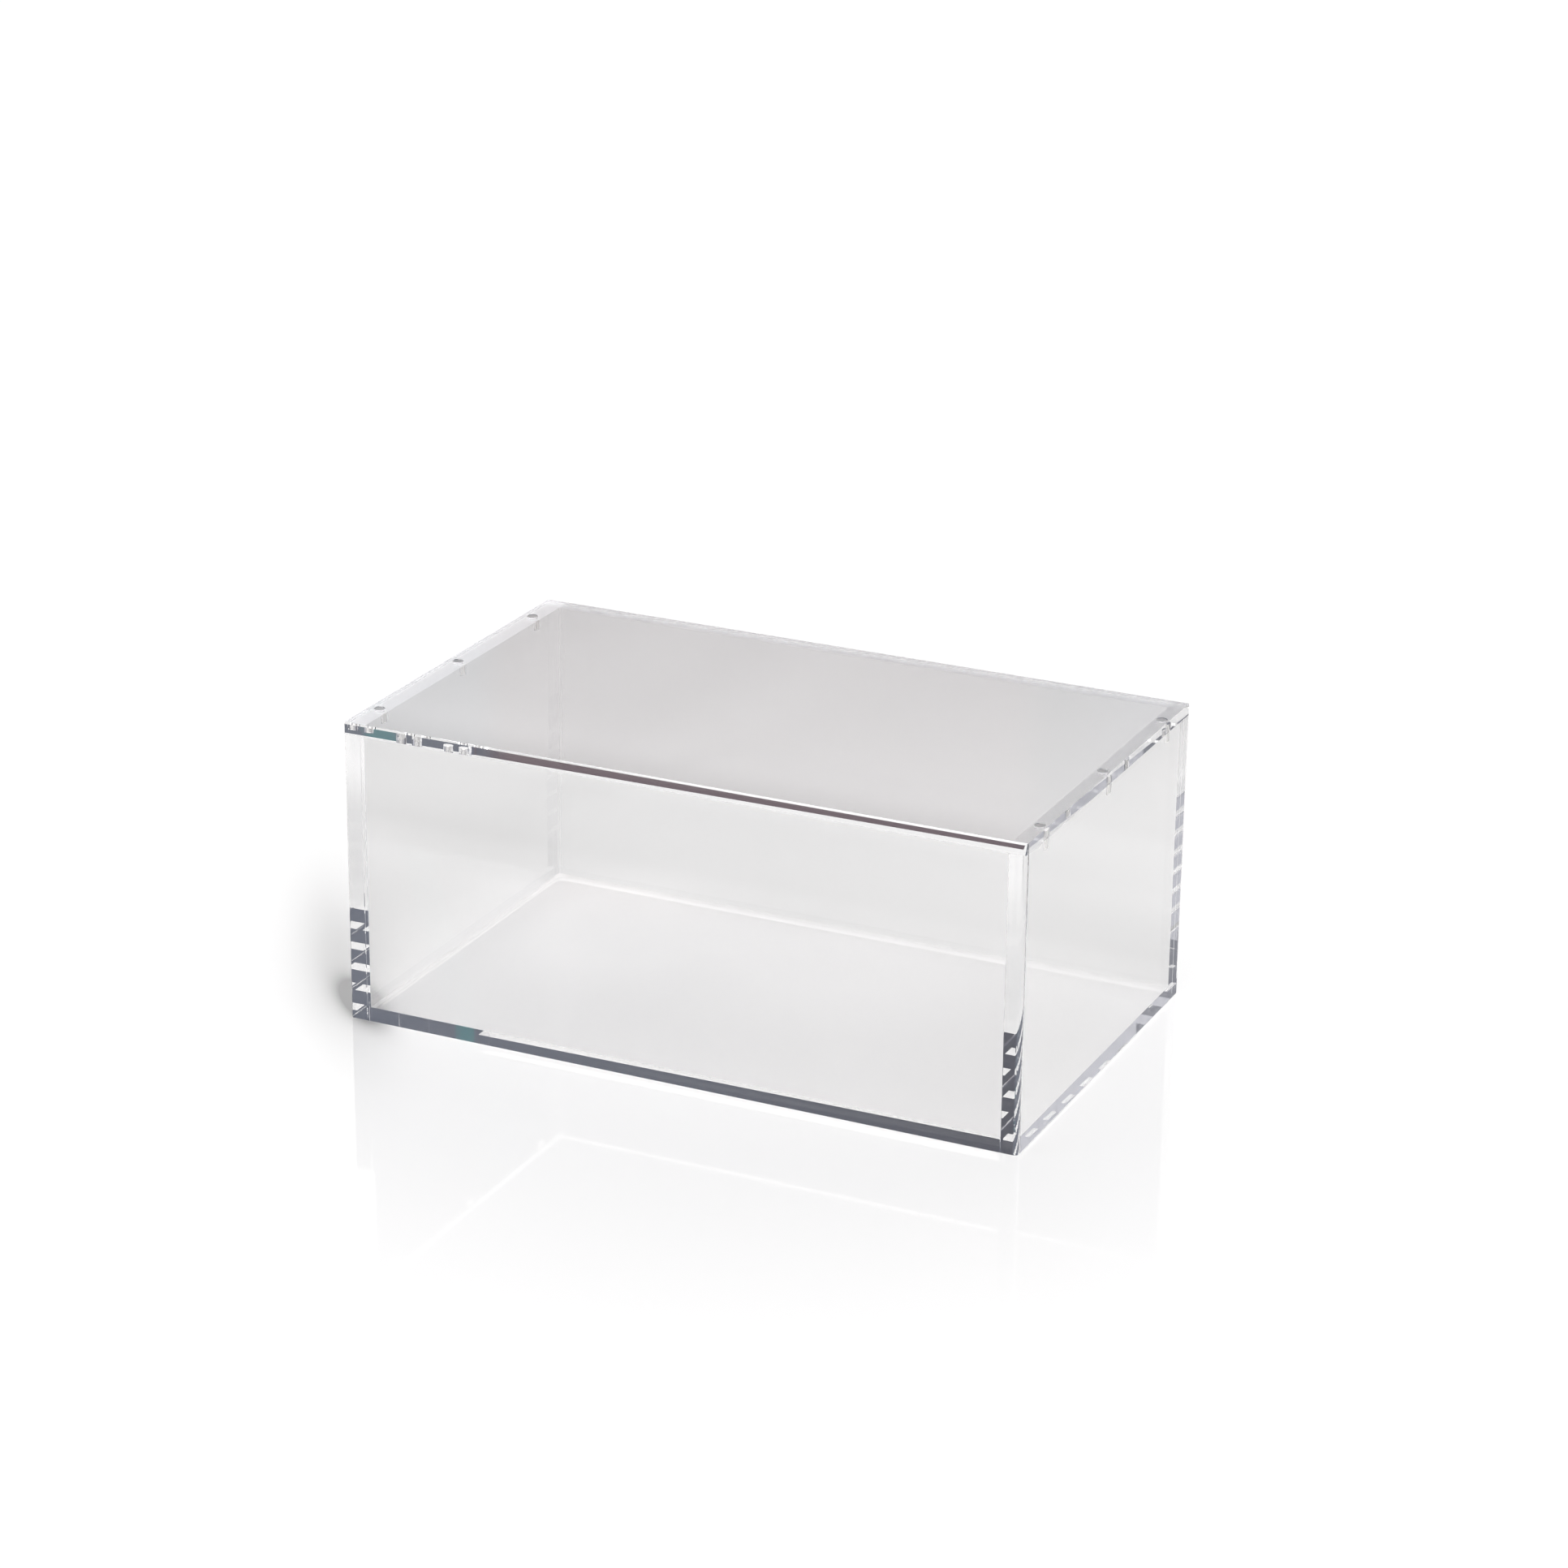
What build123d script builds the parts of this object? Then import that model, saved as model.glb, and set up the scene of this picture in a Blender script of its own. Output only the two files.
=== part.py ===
from build123d import *
import os

# Clear acrylic storage box with a lift-off lid held by six pairs of magnets.
# Millimetres. +X along the long front edge, -Y the front, +Z up.
# Origin: the middle of the footprint, on the surface that the box stands on.

# Driving dimensions ---------------------------------------------------------
LENGTH = 340.0          # outside, along X
DEPTH = 200.0           # outside, along Y
HEIGHT = 148.5          # outside, lid on
SHEET = 5.55            # front, back and bottom: nominal 6 mm cast sheet, as it measures
SIDE_SHEET = 8.5        # left and right sheet, nominal 8 mm, which carries the magnets
LID_SHEET = 5.55        # lid, from the same sheet as the front
SEAT_GAP = 0.1          # the lid rests on the magnets, this far above the walls

# Hand-finished corners, each with its own radius: (x side, y side) -> radius
LID_CORNER_R = {(-1, -1): 0.4, (1, -1): 1.8, (1, 1): 0.4, (-1, 1): 2.6}
BOX_CORNER_R = {(-1, -1): 0.5, (1, -1): 2.6}     # the two back corners are square
LID_FRONT_BEVEL = 0.8   # bevel along the lid's front upper edge; its other rims are left square
BOX_FOOT_R = 0.7        # rounding of the side panels' outer bottom edges
SEAM_ARRIS = 0.22       # both sides of each upright glued seam, on the outside

MAGNET_D = 5.0          # all twelve magnets
LID_MAGNET_H = 3.4      # set into the underside of the lid
BOX_MAGNET_H = 5.4      # set into the top edges of the side panels
MAGNET_PITCH = 75.0     # along Y, front to middle and middle to back
MAGNET_ARRIS = 0.5      # rounded rim of the plating
HOLE_D = 5.3            # blind magnet holes
HOLE_EXTRA = 0.1        # depth of adhesive behind each magnet

# Derived --------------------------------------------------------------------
WALL_TOP = HEIGHT - LID_SHEET - SEAT_GAP     # top of the four walls
LID_BOTTOM = HEIGHT - LID_SHEET
X_OUT = LENGTH / 2
Y_OUT = DEPTH / 2
X_IN = X_OUT - SIDE_SHEET                    # inner faces of the side panels
Y_IN = Y_OUT - SHEET                         # inner faces of front and back
MAGNET_X = X_OUT - SIDE_SHEET / 2            # middle of the side sheet
MAGNET_YS = {"front": -MAGNET_PITCH, "middle": 0.0, "back": MAGNET_PITCH}
MAGNET_XS = {"left": -MAGNET_X, "right": MAGNET_X}


def block(x0, x1, y0, y1, z0, z1):
    """A rectangular sheet between two corners."""
    return Pos((x0 + x1) / 2, (y0 + y1) / 2, (z0 + z1) / 2) * Box(
        x1 - x0, y1 - y0, z1 - z0)


def upright_edges(part, x, ys):
    """The vertical edges of part that stand at x and at one of ys."""
    found = []
    for e in part.edges().filter_by(Axis.Z):
        c = e.center()
        if abs(c.X - x) < 1e-3 and any(abs(c.Y - y) < 1e-3 for y in ys):
            found.append(e)
    return found


def bore(x, y, z0, z1):
    """A vertical cylinder of the magnet hole's diameter from z0 to z1."""
    return Pos(x, y, (z0 + z1) / 2) * Rot(0, 0, 90) * Cylinder(HOLE_D / 2, z1 - z0)


def magnet(x, y, z0, z1):
    """A short plated cylinder with a rounded rim."""
    m = Pos(x, y, (z0 + z1) / 2) * Cylinder(MAGNET_D / 2, z1 - z0)
    return fillet(m.edges().filter_by(GeomType.CIRCLE), MAGNET_ARRIS)


# Side panels: full depth and full height, so their ends show at the front and
# at the back. Each has three blind holes in its top edge.
def side_panel(sign):
    x0, x1 = sorted((sign * X_IN, sign * X_OUT))
    p = block(x0, x1, -Y_OUT, Y_OUT, 0.0, WALL_TOP)
    p = fillet(upright_edges(p, sign * X_OUT, (-Y_OUT,)), BOX_CORNER_R[sign, -1])
    p = chamfer(upright_edges(p, sign * X_IN, (-Y_OUT, Y_OUT)), SEAM_ARRIS)
    rail = block(x0, x1, -Y_OUT - 1, Y_OUT + 1, 0.0, WALL_TOP)
    low = [e for e in rail.edges().filter_by(Axis.Y)
           if abs(e.center().Z) < 1e-3 and abs(e.center().X - sign * X_OUT) < 1e-3]
    p = p & fillet(low, BOX_FOOT_R)
    for y in MAGNET_YS.values():
        p = p - bore(sign * MAGNET_X, y,
                     WALL_TOP + SEAT_GAP - BOX_MAGNET_H - HOLE_EXTRA, WALL_TOP + 1.0)
    return p


# Front and back panels: between the side panels, standing on the same surface.
def long_panel(sign):
    y0, y1 = sorted((sign * Y_IN, sign * Y_OUT))
    p = block(-X_IN, X_IN, y0, y1, 0.0, WALL_TOP)
    edges = upright_edges(p, -X_IN, (sign * Y_OUT,)) + upright_edges(p, X_IN, (sign * Y_OUT,))
    return chamfer(edges, SEAM_ARRIS)


# Bottom panel: inset between the four walls, flush with their lower edges.
def bottom_panel():
    return block(-X_IN, X_IN, -Y_IN, Y_IN, 0.0, SHEET)


# Lid: one flat sheet, flush with the walls all round, with six blind holes in
# its underside.
def lid_panel():
    p = block(-X_OUT, X_OUT, -Y_OUT, Y_OUT, LID_BOTTOM, HEIGHT)
    for (i, j), r in LID_CORNER_R.items():
        p = fillet(upright_edges(p, i * X_OUT, (j * Y_OUT,)), r)
    c = LID_FRONT_BEVEL
    wedge = Plane.YZ * Polyline((-Y_OUT - 1, HEIGHT - c - 1), (-Y_OUT + c + 1, HEIGHT + 1),
                                (-Y_OUT - 1, HEIGHT + 1), close=True)
    p = p - Pos(-X_OUT - 1, 0, 0) * extrude(make_face(wedge), LENGTH + 2)
    for x in MAGNET_XS.values():
        for y in MAGNET_YS.values():
            p = p - bore(x, y, LID_BOTTOM - 1.0, LID_BOTTOM + LID_MAGNET_H + HOLE_EXTRA)
    return p


parts = {
    "lid_panel": lid_panel(),
    "front_panel": long_panel(-1),
    "back_panel": long_panel(1),
    "left_side_panel": side_panel(-1),
    "right_side_panel": side_panel(1),
    "bottom_panel": bottom_panel(),
}
for side, x in MAGNET_XS.items():
    for place, y in MAGNET_YS.items():
        parts[f"lid_magnet_{side}_{place}"] = magnet(
            x, y, LID_BOTTOM, LID_BOTTOM + LID_MAGNET_H)
        parts[f"box_magnet_{side}_{place}"] = magnet(
            x, y, WALL_TOP + SEAT_GAP - BOX_MAGNET_H, WALL_TOP + SEAT_GAP)

os.makedirs("parts", exist_ok=True)
total = 0.0
for name, shape in parts.items():
    solids = shape.solids()
    assert len(solids) == 1, (name, len(solids))
    solid = solids[0]
    solid.label = name
    export_step(solid, f"parts/{name}.step")
    total += solid.volume
    print(f"{name:28s} {solid.volume:12.1f} mm3")
print(f"{'all':28s} {total:12.1f} mm3")
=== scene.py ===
import math
import bmesh
import bpy
from mathutils import Matrix, Vector


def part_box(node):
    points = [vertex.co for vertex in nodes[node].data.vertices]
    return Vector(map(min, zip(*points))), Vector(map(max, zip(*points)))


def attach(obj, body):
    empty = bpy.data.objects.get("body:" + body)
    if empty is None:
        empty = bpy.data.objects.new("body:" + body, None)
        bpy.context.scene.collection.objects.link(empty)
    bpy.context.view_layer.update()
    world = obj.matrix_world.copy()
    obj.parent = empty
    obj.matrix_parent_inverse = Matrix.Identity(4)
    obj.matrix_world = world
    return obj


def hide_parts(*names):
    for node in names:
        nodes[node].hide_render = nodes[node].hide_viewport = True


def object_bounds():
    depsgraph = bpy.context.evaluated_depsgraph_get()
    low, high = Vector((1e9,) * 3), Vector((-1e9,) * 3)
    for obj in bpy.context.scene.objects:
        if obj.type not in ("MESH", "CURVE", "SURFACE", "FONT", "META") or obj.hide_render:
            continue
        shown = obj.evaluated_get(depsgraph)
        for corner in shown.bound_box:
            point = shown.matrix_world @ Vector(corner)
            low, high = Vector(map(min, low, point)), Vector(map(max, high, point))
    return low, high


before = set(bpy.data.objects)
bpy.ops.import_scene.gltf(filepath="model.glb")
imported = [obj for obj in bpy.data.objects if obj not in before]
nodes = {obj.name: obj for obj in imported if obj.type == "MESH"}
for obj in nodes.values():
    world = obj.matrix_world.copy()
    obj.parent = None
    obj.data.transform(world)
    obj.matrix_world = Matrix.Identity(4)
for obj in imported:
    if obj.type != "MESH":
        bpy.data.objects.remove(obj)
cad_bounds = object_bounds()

scene = bpy.context.scene

# ---------------------------------------------------------------- sizes (m)
box_lo, box_hi = cad_bounds
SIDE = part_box("left_side_panel")
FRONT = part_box("front_panel")
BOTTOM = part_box("bottom_panel")
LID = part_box("lid_panel")
X_OUT = box_hi.x
Y_OUT = box_hi.y
X_IN = -SIDE[1].x                 # inner faces of the side panels
Y_IN = -FRONT[1].y                # inner faces of the front and back panels
SHEET = BOTTOM[1].z               # top of the bottom panel
WALL_TOP = SIDE[1].z

# ---------------------------------------------------------------- materials


def new_material(name):
    mat = bpy.data.materials.new(name)
    mat.use_nodes = True
    mat.node_tree.nodes.clear()
    return mat, mat.node_tree


class Tree:
    """Short way to write a node tree."""

    def __init__(self, nt):
        self.nt = nt

    def node(self, kind, **inputs):
        n = self.nt.nodes.new(kind)
        for key, v in inputs.items():
            self.put(n.inputs[key.replace("_", " ")], v)
        return n

    def put(self, socket, v):
        if hasattr(v, "links"):
            self.nt.links.new(v, socket)
        else:
            socket.default_value = v

    def math(self, op, a, b=0.0, clamp=False):
        n = self.nt.nodes.new("ShaderNodeMath")
        n.operation = op
        n.use_clamp = clamp
        self.put(n.inputs[0], a)
        self.put(n.inputs[1], b)
        return n.outputs[0]

    def ramp(self, v, a, b, lo=0.0, hi=1.0, smooth=True):
        n = self.nt.nodes.new("ShaderNodeMapRange")
        n.interpolation_type = "SMOOTHSTEP" if smooth else "LINEAR"
        self.put(n.inputs["Value"], v)
        for key, x in (("From Min", a), ("From Max", b), ("To Min", lo), ("To Max", hi)):
            n.inputs[key].default_value = x
        return n.outputs["Result"]

    def mix(self, fac, a, b):
        n = self.nt.nodes.new("ShaderNodeMixRGB")
        self.put(n.inputs[0], fac)
        self.put(n.inputs[1], a)
        self.put(n.inputs[2], b)
        return n.outputs[0]

    def xyz(self, vector):
        n = self.nt.nodes.new("ShaderNodeSeparateXYZ")
        self.nt.links.new(vector, n.inputs[0])
        return n.outputs


def acrylic():
    """Polished cast sheet: water clear, with faint wiping smudges and a few specks of dust."""
    mat, nt = new_material("clear_acrylic")
    t = Tree(nt)
    place = t.node("ShaderNodeTexCoord").outputs["Object"]
    smudge = t.node("ShaderNodeTexNoise", Vector=place, Scale=22.0, Detail=4.0, Roughness=0.55,
                    Distortion=1.4)
    haze = t.ramp(smudge.outputs["Fac"], 0.52, 0.74)
    dust = t.node("ShaderNodeTexVoronoi", Vector=place, Scale=34.0)
    near = t.ramp(dust.outputs["Distance"], 0.006, 0.016, 1.0, 0.0)
    chosen = t.math("GREATER_THAN", t.xyz(dust.outputs["Color"])[0], 0.86)
    colour = t.mix(haze, (0.9955, 0.9935, 0.9935, 1), (0.9895, 0.9880, 0.9885, 1))
    colour = t.mix(t.math("MULTIPLY", near, chosen), colour, (0.80, 0.79, 0.78, 1))
    out = nt.nodes.new("ShaderNodeOutputMaterial")
    p = nt.nodes.new("ShaderNodeBsdfPrincipled")
    t.put(p.inputs["Base Color"], colour)
    p.inputs["Roughness"].default_value = 0.0
    p.inputs["IOR"].default_value = 1.49
    p.inputs["Transmission Weight"].default_value = 1.0
    nt.links.new(p.outputs[0], out.inputs["Surface"])
    return mat


def milled(name, painted_light_share):
    """Top edges of the walls: milled flat and left satin, with fine tool marks; the share of white
    given to an edge is painted light.
    """
    mat, nt = new_material(name)
    t = Tree(nt)
    place = t.node("ShaderNodeTexCoord").outputs["Object"]
    marks = t.node("ShaderNodeTexNoise", Vector=place, Scale=900.0, Detail=3.0, Roughness=0.6)
    out = nt.nodes.new("ShaderNodeOutputMaterial")
    p = nt.nodes.new("ShaderNodeBsdfPrincipled")
    t.put(p.inputs["Base Color"], t.mix(marks.outputs["Fac"], (0.985, 0.98, 0.98, 1), (1, 1, 1, 1)))
    t.put(p.inputs["Roughness"], t.ramp(marks.outputs["Fac"], 0.3, 0.7, 0.35, 0.55))
    p.inputs["IOR"].default_value = 1.49
    # the white share taken out of the transmission is painted light on the edge
    p.inputs["Transmission Weight"].default_value = 1.0 - painted_light_share
    nt.links.new(p.outputs[0], out.inputs["Surface"])
    return mat


def weld():
    mat, nt = new_material("solvent_weld")
    out = nt.nodes.new("ShaderNodeOutputMaterial")
    t = nt.nodes.new("ShaderNodeBsdfTransparent")
    nt.links.new(t.outputs[0], out.inputs["Surface"])
    return mat


def nickel():
    """Bright nickel plating, barrel-finished: fine ripple and small dull patches."""
    mat, nt = new_material("nickel_plating")
    t = Tree(nt)
    place = t.node("ShaderNodeTexCoord").outputs["Object"]
    ripple = t.node("ShaderNodeTexNoise", Vector=place, Scale=700.0, Detail=3.0, Roughness=0.6)
    patch = t.node("ShaderNodeTexNoise", Vector=place, Scale=260.0, Detail=2.0)
    out = nt.nodes.new("ShaderNodeOutputMaterial")
    p = nt.nodes.new("ShaderNodeBsdfPrincipled")
    t.put(p.inputs["Base Color"], t.mix(patch.outputs["Fac"], (0.88, 0.87, 0.85, 1),
                                        (0.95, 0.94, 0.92, 1)))
    p.inputs["Metallic"].default_value = 1.0
    t.put(p.inputs["Roughness"], t.ramp(patch.outputs["Fac"], 0.3, 0.7, 0.42, 0.50))
    bump = t.node("ShaderNodeBump", Height=ripple.outputs["Fac"])
    bump.inputs["Strength"].default_value = 0.12
    bump.inputs["Distance"].default_value = 0.00005
    nt.links.new(bump.outputs[0], p.inputs["Normal"])
    nt.links.new(p.outputs[0], out.inputs["Surface"])
    return mat


ACRYLIC, WELD, NICKEL = acrylic(), weld(), nickel()
MILLED = milled("acrylic_milled_edge", 0.0)
# painted light: the left edge gets a white share so it reads brighter than the rest, the back edge a
# little
PAINTED_LIGHTER_EDGES = {"left_side_panel": milled("acrylic_edge_left_painted_light", 0.85),
          "back_panel": milled("acrylic_edge_back_painted_light", 0.20)}

# ---------------------------------------------------------------- clear sheets
EPS = 2e-5


def is_weld(node, c, n):
    """True for a point c with normal n on a face that is bonded to a neighbour."""
    if node in ("left_side_panel", "right_side_panel"):
        if abs(abs(c.x) - X_IN) < EPS and abs(n.x) > 0.99:
            if c.x > 0 and c.y < -Y_IN:
                return False          # the front right seam is dry
            return abs(c.y) > Y_IN or c.z < SHEET
    if node in ("front_panel", "back_panel"):
        if abs(abs(c.x) - X_IN) < EPS and abs(n.x) > 0.99:
            return not (node == "front_panel" and c.x > 0)
        if abs(abs(c.y) - Y_IN) < EPS and abs(n.y) > 0.99:
            return c.z < SHEET
    if node == "bottom_panel":
        return abs(n.z) < 0.5
    return False


def clear_sheet(node, body, name):
    src = nodes[node]
    me = src.data.copy()
    me.name = name
    bm = bmesh.new()
    bm.from_mesh(me)
    bmesh.ops.remove_doubles(bm, verts=bm.verts, dist=1e-7)
    cuts = []
    if node in ("left_side_panel", "right_side_panel"):
        cuts = [((0, Y_IN, 0), (0, 1, 0)), ((0, -Y_IN, 0), (0, 1, 0)), ((0, 0, SHEET), (0, 0, 1))]
    elif node in ("front_panel", "back_panel"):
        cuts = [((0, 0, SHEET), (0, 0, 1))]
    for co, no in cuts:
        geom = bm.verts[:] + bm.edges[:] + bm.faces[:]
        bmesh.ops.bisect_plane(bm, geom=geom, dist=1e-7, plane_co=co, plane_no=no)
    bm.normal_update()
    for f in bm.faces:
        f.smooth = False
        c = f.calc_center_median()
        if is_weld(node, c, f.normal):
            f.material_index = 1
        elif node != "lid_panel" and abs(c.z - WALL_TOP) < EPS and f.normal.z > 0.99:
            f.material_index = 2
        else:
            f.material_index = 0
    if node == "front_panel":         # the sliver of air in the dry seam
        for v in bm.verts:
            if v.co.x > X_IN - 0.0001:
                v.co.x -= 0.00004
    me.materials.clear()
    for mat in (ACRYLIC, WELD, PAINTED_LIGHTER_EDGES.get(node, MILLED)):
        me.materials.append(mat)
    bm.to_mesh(me)
    bm.free()
    ob = bpy.data.objects.new(name, me)
    scene.collection.objects.link(ob)
    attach(ob, body)
    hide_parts(node)
    return ob


for node in ("front_panel", "back_panel", "left_side_panel", "right_side_panel", "bottom_panel"):
    clear_sheet(node, "box", node + "_acrylic")
clear_sheet("lid_panel", "lid", "lid_panel_acrylic")

for name, ob in nodes.items():
    if "magnet" in name:
        ob.data.materials.clear()
        ob.data.materials.append(NICKEL)

# ---------------------------------------------------------------- stage
def plane(name, size, z):
    me = bpy.data.meshes.new(name)
    s = size / 2
    me.from_pydata([(-s, -s, z), (s, -s, z), (s, s, z), (-s, s, z)], [], [(0, 1, 2, 3)])
    ob = bpy.data.objects.new(name, me)
    scene.collection.objects.link(ob)
    return ob


# Studio: a white board, a large soft light above it that leans to the right and
# to the front, a dark room behind and a pale one in front.
FLOOR_SHEEN = 0.16
PAINTED_SHADE_BEHIND = 0.755            # painted shade on the board just behind the box
# painted soft shadow on the board at the box's left: depth, x, y, turn, spread along and across
PAINTED_SHADOW = ((1.20, -0.1746, -0.0828, 0.794, 0.0080, 0.0254),
          (0.32, -0.2055, -0.0484, 2.171, 0.1015, 0.0201))
FLOOR_WHITE = (0.905, 0.898, 0.884)
# painted light and shade on the board, soft lobes that make it a little patchy: strength, x, y and
# spread along x, y
PAINTED_LIGHT_LOBES = ((-0.189, 0.009, 0.111, 0.285, 0.017), (0.202, -0.122, 0.043, 0.058, 0.086),
          (0.192, -0.301, 0.205, 0.103, 0.081), (-0.298, 0.258, 0.293, 0.136, 0.075),
          (0.368, -0.007, 0.044, 0.145, 0.087), (-0.357, -0.040, 0.040, 0.246, 0.100),
          (0.128, -0.284, 0.462, 0.103, 0.153), (0.298, 0.290, 0.219, 0.154, 0.037))
WHITE = 1.04              # the board in the open, as the lens sees it
TOP_LIGHT = 1.85
PAINTED_GLOW_UNDER_WALLS = (0.45, 0.03)      # painted glow on the board under the left and the other walls, standing in for light the sheets pipe down
TOP_LEAN = 0.75           # how much brighter the top light is to the right
ROOM_BLUE = (0.12, 0.127, 0.165, 1)     # nearly straight behind: dim and bluish
ROOM_DEEP = (0.055, 0.057, 0.075, 1)     # beside that: nearly black
ROOM_SIDE = (0.125, 0.138, 0.175, 1)     # further to the sides: dim and bluish
ROOM_LOW = (0.130, 0.093, 0.108, 1)      # low down on the left: dim and warm
TEAL = (0.085, 0.185, 0.205, 1)           # a narrow teal patch in that room
ROOM_FRONT = (0.47, 0.475, 0.53, 1)


def floor_material():
    """White board: matt, with a soft sheen that fades away from the box; its colour carries painted
    light and shade, and a painted glow lies under the walls.
    """
    mat, nt = new_material("studio_floor")
    t = Tree(nt)
    geo = t.node("ShaderNodeNewGeometry")
    x, y, z = t.xyz(geo.outputs["Position"])
    path = t.node("ShaderNodeLightPath")
    # painted light and shade in the board's colour, for rays that see it through the sheets: darker
    # behind the box, on its left and far off at the back right, brighter inside it
    dip = t.math("MAXIMUM", t.ramp(y, 0.10, 0.145, 1.0, 0.0), t.ramp(y, 0.215, 0.285, 0.0, 1.0))
    fall = t.math("MULTIPLY", t.ramp(dip, 0.0, 1.0, PAINTED_SHADE_BEHIND, 1.0, False),
                  t.ramp(y, 0.10, 0.60, 1.0, 0.87))
    fall = t.math("MULTIPLY", fall, t.ramp(x, -0.5, 0.1, 0.87, 1.0, False))
    fall = t.math("MULTIPLY", fall, t.ramp(x, -0.24, -0.17, 0.93, 1.0))
    far = t.math("MULTIPLY", t.ramp(x, 0.19, 0.33), t.ramp(y, 0.12, 0.42))
    fall = t.math("MULTIPLY", fall, t.ramp(far, 0.0, 1.0, 1.0, 0.42, False))
    ax, ay = t.math("ABSOLUTE", x), t.math("ABSOLUTE", y)
    inner = t.math("MULTIPLY", t.math("LESS_THAN", ax, X_IN), t.math("LESS_THAN", ay, Y_IN))
    outer = t.math("MULTIPLY", t.math("LESS_THAN", ax, X_OUT), t.math("LESS_THAN", ay, Y_OUT))
    inside = t.math("ADD", t.math("MULTIPLY", inner, 0.11), 1.0)
    fall = t.math("MULTIPLY", fall, inside)
    # painted light and shade: soft lobes that brighten and darken the board's colour
    painted_lobes = 1.0
    for strength, cx, cy, long, wide in PAINTED_LIGHT_LOBES:
        u = t.math("DIVIDE", t.math("SUBTRACT", x, cx), long)
        v = t.math("DIVIDE", t.math("SUBTRACT", y, cy), wide)
        r2 = t.math("ADD", t.math("MULTIPLY", u, u), t.math("MULTIPLY", v, v))
        lobe = t.math("EXPONENT", t.math("MULTIPLY", r2, -1.0))
        painted_lobes = t.math("ADD", t.math("MULTIPLY", lobe, strength), painted_lobes)
    fall = t.math("MINIMUM", t.math("MULTIPLY", fall, painted_lobes), 1.1)
    fall = t.math("MAXIMUM", fall, path.outputs["Is Camera Ray"])
    # painted soft shadow in the board's colour at the box's left, where the box throws its shadow
    shade = 1.0
    for depth, cx, cy, turn, long, wide in PAINTED_SHADOW:
        c, s = math.cos(turn), math.sin(turn)
        dx, dy = t.math("SUBTRACT", x, cx), t.math("SUBTRACT", y, cy)
        u = t.math("ADD", t.math("MULTIPLY", dx, c / long), t.math("MULTIPLY", dy, s / long))
        v = t.math("SUBTRACT", t.math("MULTIPLY", dy, c / wide), t.math("MULTIPLY", dx, s / wide))
        r2 = t.math("ADD", t.math("MULTIPLY", u, u), t.math("MULTIPLY", v, v))
        lobe = t.math("MULTIPLY", t.math("EXPONENT", t.math("MULTIPLY", r2, -1.0)), depth)
        shade = t.math("SUBTRACT", shade, lobe, clamp=True)
    fall = t.math("MULTIPLY", fall, t.math("MAXIMUM", shade, 0.35))
    tone = nt.nodes.new("ShaderNodeVectorMath")
    tone.operation = "SCALE"
    tone.inputs[0].default_value = FLOOR_WHITE
    t.put(tone.inputs["Scale"], fall)
    matt = t.node("ShaderNodeBsdfDiffuse", Color=tone.outputs[0])
    sheen = t.node("ShaderNodeBsdfGlossy", Color=(1, 1, 1, 1), Roughness=0.03)
    length = t.node("ShaderNodeVectorMath")
    length.operation = "LENGTH"
    nt.links.new(geo.outputs["Position"], length.inputs[0])
    mix = nt.nodes.new("ShaderNodeMixShader")
    t.put(mix.inputs[0], t.ramp(length.outputs["Value"], 0.15, 0.42, FLOOR_SHEEN, 0.0))
    t.put(mix.inputs[1], matt.outputs[0])
    t.put(mix.inputs[2], sheen.outputs[0])
    # painted glow under the walls: an emission on the board, standing in for the top light the
    # upright sheets pipe down to it
    ring = t.math("SUBTRACT", outer, inner, clamp=True)
    ring = t.math("MULTIPLY", ring, t.math("SUBTRACT", 1.0, path.outputs["Is Camera Ray"]))
    ring = t.math("MULTIPLY", ring, t.ramp(x, -0.172, -0.155, *PAINTED_GLOW_UNDER_WALLS, False))
    painted_glow = t.node("ShaderNodeEmission", Color=(1, 1, 1, 1), Strength=ring)
    both = nt.nodes.new("ShaderNodeAddShader")
    nt.links.new(mix.outputs[0], both.inputs[0])
    nt.links.new(painted_glow.outputs[0], both.inputs[1])
    out = nt.nodes.new("ShaderNodeOutputMaterial")
    nt.links.new(both.outputs[0], out.inputs["Surface"])
    return mat


floor = plane("studio_floor", 12.0, -0.0002)
floor.data.materials.append(floor_material())

world = bpy.data.worlds.new("studio")
scene.world = world
world.use_nodes = True
nt = world.node_tree
nt.nodes.clear()
t = Tree(nt)
coord = t.node("ShaderNodeTexCoord")
wx, wy, wz = t.xyz(coord.outputs["Generated"])
bearing = t.math("MULTIPLY", t.math("ARCTAN2", wx, wy), 180 / math.pi)   # degrees right of +Y
height = t.math("MULTIPLY", t.math("ARCSINE", wz), 180 / math.pi)         # degrees up
off = t.math("ABSOLUTE", bearing)
room = t.mix(t.ramp(off, 21.0, 31.0, 0.0, 1.0, False), ROOM_DEEP, ROOM_SIDE)
low = t.math("MULTIPLY", t.ramp(height, 21.8, 23.0, 1.0, 0.0), t.ramp(bearing, -29.4, -28.8))
low = t.math("MULTIPLY", low, t.ramp(bearing, -21.9, -21.2, 1.0, 0.0))
room = t.mix(low, room, ROOM_LOW)
room = t.mix(t.ramp(off, 19.8, 21.3, 1.0, 0.0), room, ROOM_BLUE)
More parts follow.
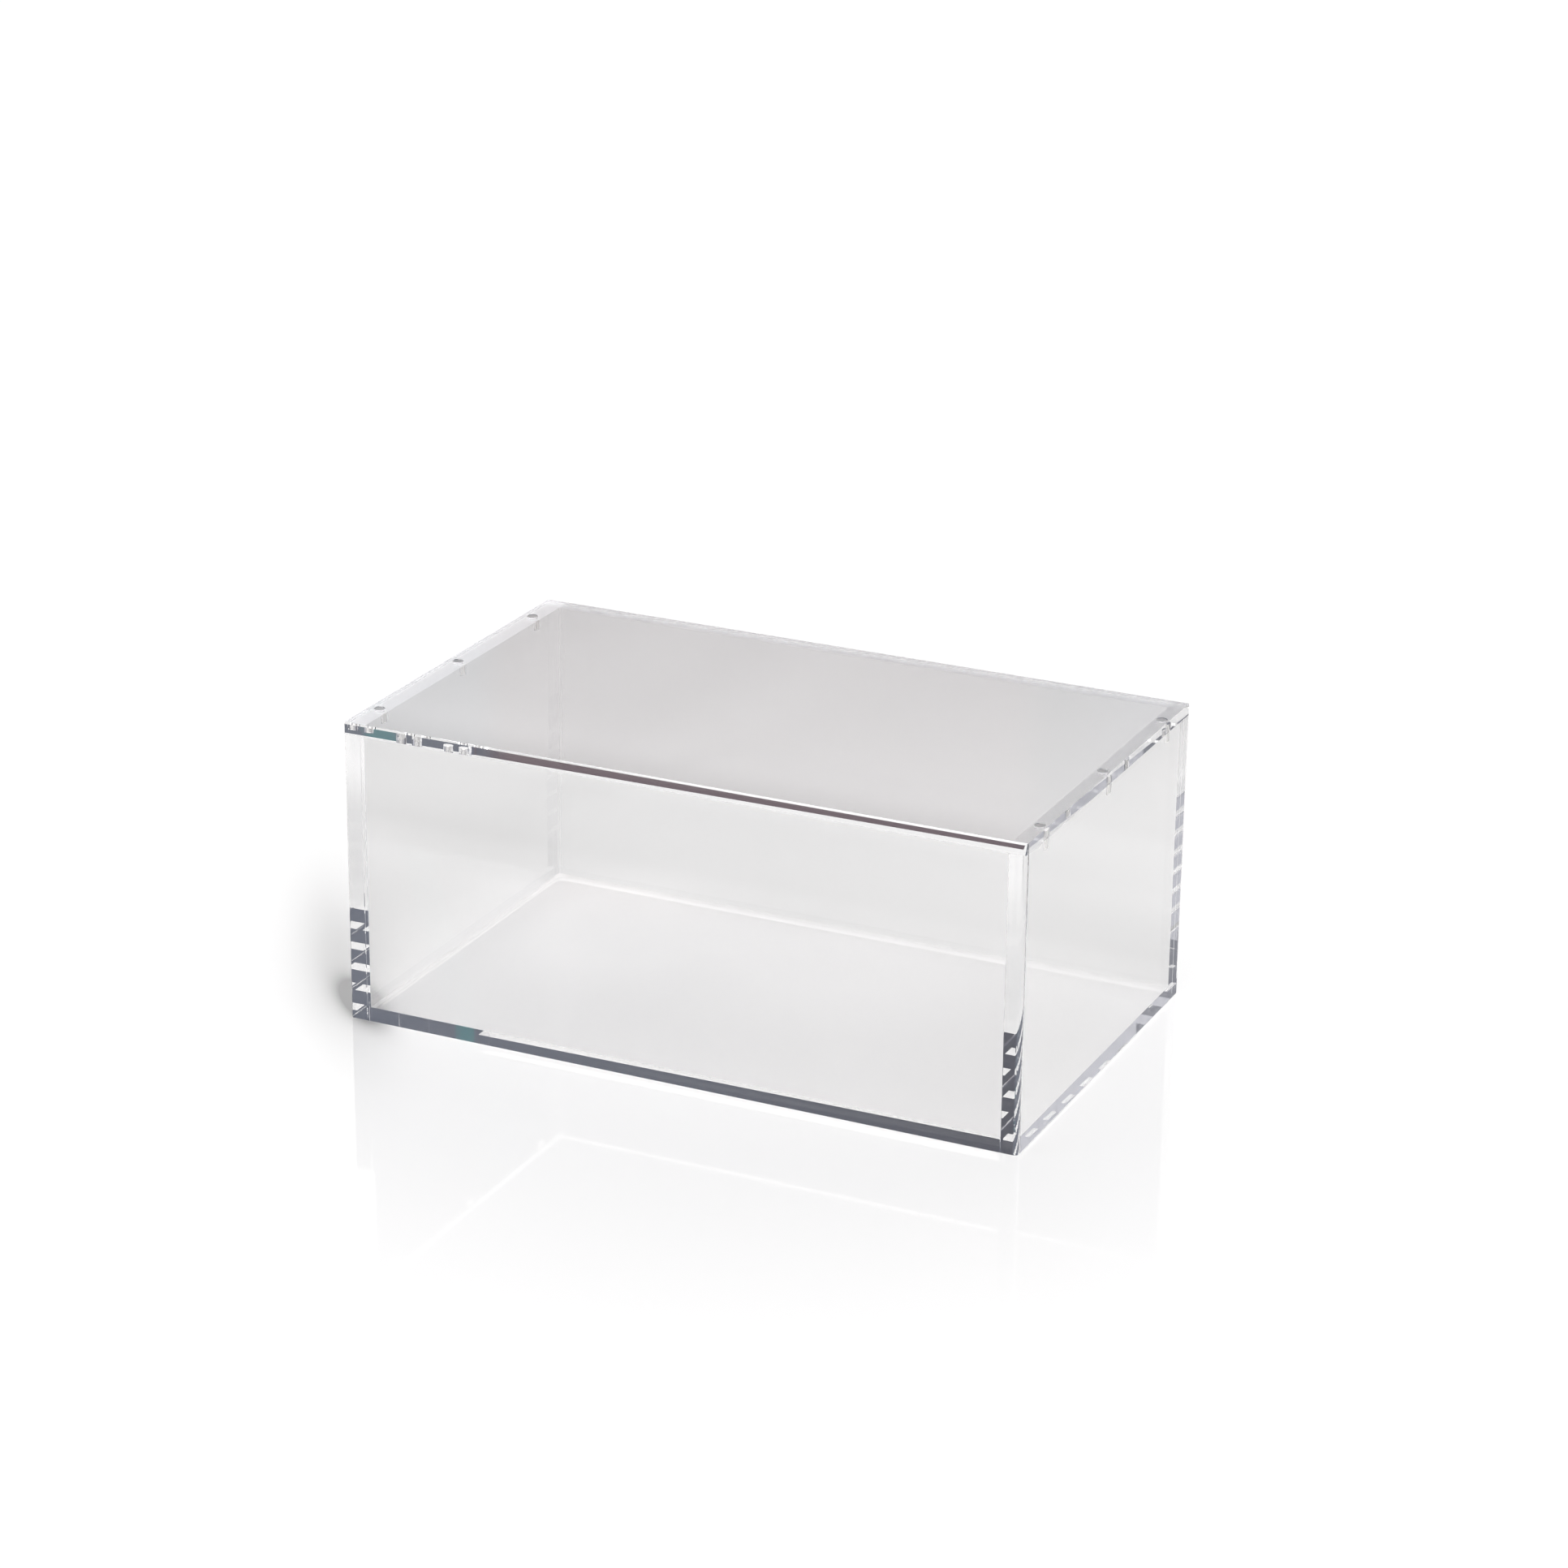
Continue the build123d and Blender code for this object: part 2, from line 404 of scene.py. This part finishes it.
# the patch is a narrow band that leans: further out lower down
edge = t.math("ADD", bearing, t.math("MULTIPLY", height, 0.295))
teal = t.math("MULTIPLY", t.ramp(edge, 36.30, 36.45), t.ramp(edge, 36.72, 36.87, 1.0, 0.0))
room = t.mix(teal, room, TEAL)
room = t.mix(t.ramp(wy, 0.05, -0.35), room, ROOM_FRONT)
lean = t.math("ADD", t.math("MULTIPLY", wx, 0.8 * TOP_LEAN), t.math("MULTIPLY", wy, -0.6 * TOP_LEAN))
power = t.math("MULTIPLY", t.math("ADD", lean, 1.0), TOP_LIGHT)
above = t.ramp(wz, math.sin(math.radians(38)), math.sin(math.radians(46)))
studio = t.node("ShaderNodeBackground", Color=room, Strength=1.0)
top = t.node("ShaderNodeBackground", Color=(1, 1, 1, 1), Strength=power)
sky = nt.nodes.new("ShaderNodeMixShader")
t.put(sky.inputs[0], above)
t.put(sky.inputs[1], studio.outputs[0])
t.put(sky.inputs[2], top.outputs[0])
card = t.node("ShaderNodeBackground", Color=(1, 1, 1, 1), Strength=WHITE)
path = t.node("ShaderNodeLightPath")
blurred = t.math("MULTIPLY", path.outputs["Is Glossy Ray"],
                 t.math("SUBTRACT", 1.0, path.outputs["Is Singular Ray"]))
pick = nt.nodes.new("ShaderNodeMixShader")
t.put(pick.inputs[0], t.math("MAXIMUM", path.outputs["Is Camera Ray"], blurred))
t.put(pick.inputs[1], sky.outputs[0])
t.put(pick.inputs[2], card.outputs[0])
w_out = nt.nodes.new("ShaderNodeOutputWorld")
nt.links.new(pick.outputs[0], w_out.inputs["Surface"])

# ---------------------------------------------------------------- camera
AZ, EL, ROLL = math.radians(25.01302), math.radians(20.87752), math.radians(0.60171)
back = Vector((math.sin(AZ) * math.cos(EL), -math.cos(AZ) * math.cos(EL), math.sin(EL)))
right = Vector((0, 0, 1)).cross(back).normalized()
up = back.cross(right)
r2 = right * math.cos(ROLL) + up * math.sin(ROLL)
u2 = -right * math.sin(ROLL) + up * math.cos(ROLL)
cam_data = bpy.data.cameras.new("photo_camera")
cam_data.sensor_width = 36.0
cam_data.lens = 100.65
cam_data.clip_start, cam_data.clip_end = 0.05, 50
cam = bpy.data.objects.new("photo_camera", cam_data)
scene.collection.objects.link(cam)
m = Matrix((r2, u2, back)).transposed().to_4x4()
m.translation = Vector((0.81609, -1.73320, 0.84379))
cam.matrix_world = m
scene.camera = cam

# ---------------------------------------------------------------- look
scene.view_settings.view_transform = "Standard"
scene.view_settings.look = "None"
cy = scene.cycles
cy.max_bounces = 160
cy.transmission_bounces = 160
cy.glossy_bounces = 160
cy.diffuse_bounces = 3
cy.transparent_max_bounces = 64
cy.caustics_reflective = True
cy.caustics_refractive = True
cy.blur_glossy = 0.0
cy.use_denoising = True
